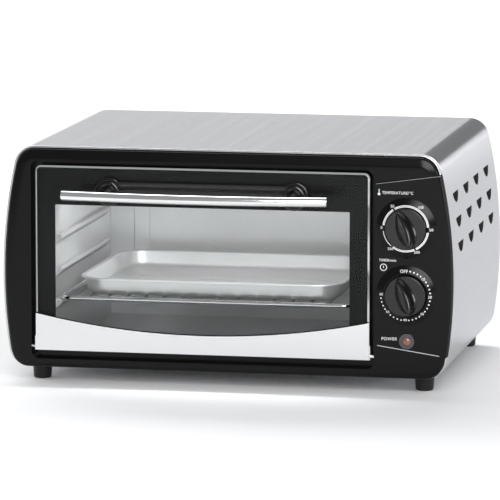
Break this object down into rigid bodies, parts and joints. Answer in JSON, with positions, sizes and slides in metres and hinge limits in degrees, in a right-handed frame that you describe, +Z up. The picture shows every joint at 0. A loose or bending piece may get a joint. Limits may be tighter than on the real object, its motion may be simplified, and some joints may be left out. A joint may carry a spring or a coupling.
{
  "type": "toaster oven",
  "caption": "Compact toaster oven with a bulged steel wrap, drop-down glass door, bowed tube handle, rotary dials, wire rack and baking tray.",
  "frame": {"origin": "on the worktop, below the middle of the box round the whole oven, handle and cord gland included", "axes": "+X to the right across the front, +Y from the front to the back, +Z up"},
  "size_m": [0.388, 0.3335, 0.204],
  "materials": {
    "wrap_steel": "fine brushed, satin",
    "strip_steel": "fine brushed, bright",
    "tube_steel": "polished tube with a fine grain",
    "black_gloss": "gloss moulded plastic",
    "knob_black": "satin base with a gloss grip",
    "foot_plastic": "fine grained",
    "bearing_plastic": "plain moulded",
    "control_plastic": "plain moulded",
    "wire_sleeve": "woven heat-proof sleeve",
    "galvanised_steel": "galvanised sheet",
    "liner_steel": "aluminised sheet, dull",
    "heater_steel": "heat-darkened tube",
    "plated_steel": "zinc plated",
    "rack_chrome": "chromed wire",
    "tray_aluminium": "satin sheet",
    "ceramic": "glazed ceramic, stands in for steatite",
    "lamp_rim": "smoky clear plastic",
    "lamp_lens": "red translucent plastic, unlit",
    "door_glass": "clear toughened glass"
  },
  "bodies": {
    "housing": {"outer_wrap": "wrap_steel", "front_frame": "black_gloss", "control_panel": "black_gloss", "rear_panel": "galvanised_steel", "base_plate": "galvanised_steel", "liner_left": "liner_steel", "liner_right": "liner_steel", "liner_roof": "liner_steel", "liner_back": "liner_steel", "liner_floor": "liner_steel", "upper_heater": "heater_steel", "lower_heater": "heater_steel", "heater_insulators": "ceramic", "mount_plate": "galvanised_steel", "thermostat_body": "control_plastic", "timer_body": "control_plastic", "timer_bell": "plated_steel", "control_screws": "plated_steel", "lamp_rim": "lamp_rim", "lamp_lens": "lamp_lens", "hinge_bearing_left": "bearing_plastic", "hinge_bearing_right": "bearing_plastic", "foot_front_left": "foot_plastic", "foot_front_right": "foot_plastic", "foot_rear_left": "foot_plastic", "foot_rear_right": "foot_plastic", "foot_screws": "plated_steel", "rear_screws": "plated_steel", "inlet_gland": "foot_plastic", "terminal_block": "control_plastic", "wiring": "wire_sleeve"},
    "door": {"door_glass": "door_glass", "door_strip": "strip_steel", "hinge_bracket_left": "plated_steel", "hinge_bracket_right": "plated_steel", "handle_base": "black_gloss", "handle_post_left": "black_gloss", "handle_post_right": "black_gloss", "handle_tube": "tube_steel", "handle_screws": "plated_steel"},
    "thermostat_dial": {"thermostat_knob": "knob_black", "thermostat_shaft": "plated_steel"},
    "timer_dial": {"timer_knob": "knob_black", "timer_shaft": "plated_steel"},
    "rack": {"wire_rack": "rack_chrome"},
    "tray": {"baking_tray": "tray_aluminium"}
  },
  "joints": [
    {"name": "door_hinge", "type": "hinge", "parent": "housing", "child": "door", "pos_m": [-0.0202, -0.11575, 0.0315], "axis": [1, 0, 0], "range_deg": [0, 80]},
    {"name": "rack_slide", "type": "slide", "parent": "housing", "child": "rack", "axis": [0, -1, 0], "range_m": [0, 0.07]},
    {"name": "tray_lift", "type": "slide", "parent": "rack", "child": "tray", "axis": [0, 0, 1], "range_m": [0, 0.03]},
    {"name": "thermostat_turn", "type": "hinge", "parent": "housing", "child": "thermostat_dial", "pos_m": [0.1555, -0.13, 0.1424], "axis": [0, 1, 0], "range_deg": [-70, 237]},
    {"name": "timer_turn", "type": "hinge", "parent": "housing", "child": "timer_dial", "pos_m": [0.1555, -0.13, 0.0856], "axis": [0, 1, 0], "range_deg": [0, 290]}
  ],
  "couplings": [
    {"joint": "rack_slide", "follows": "door_hinge", "m_per_rad": 0.05}
  ]
}
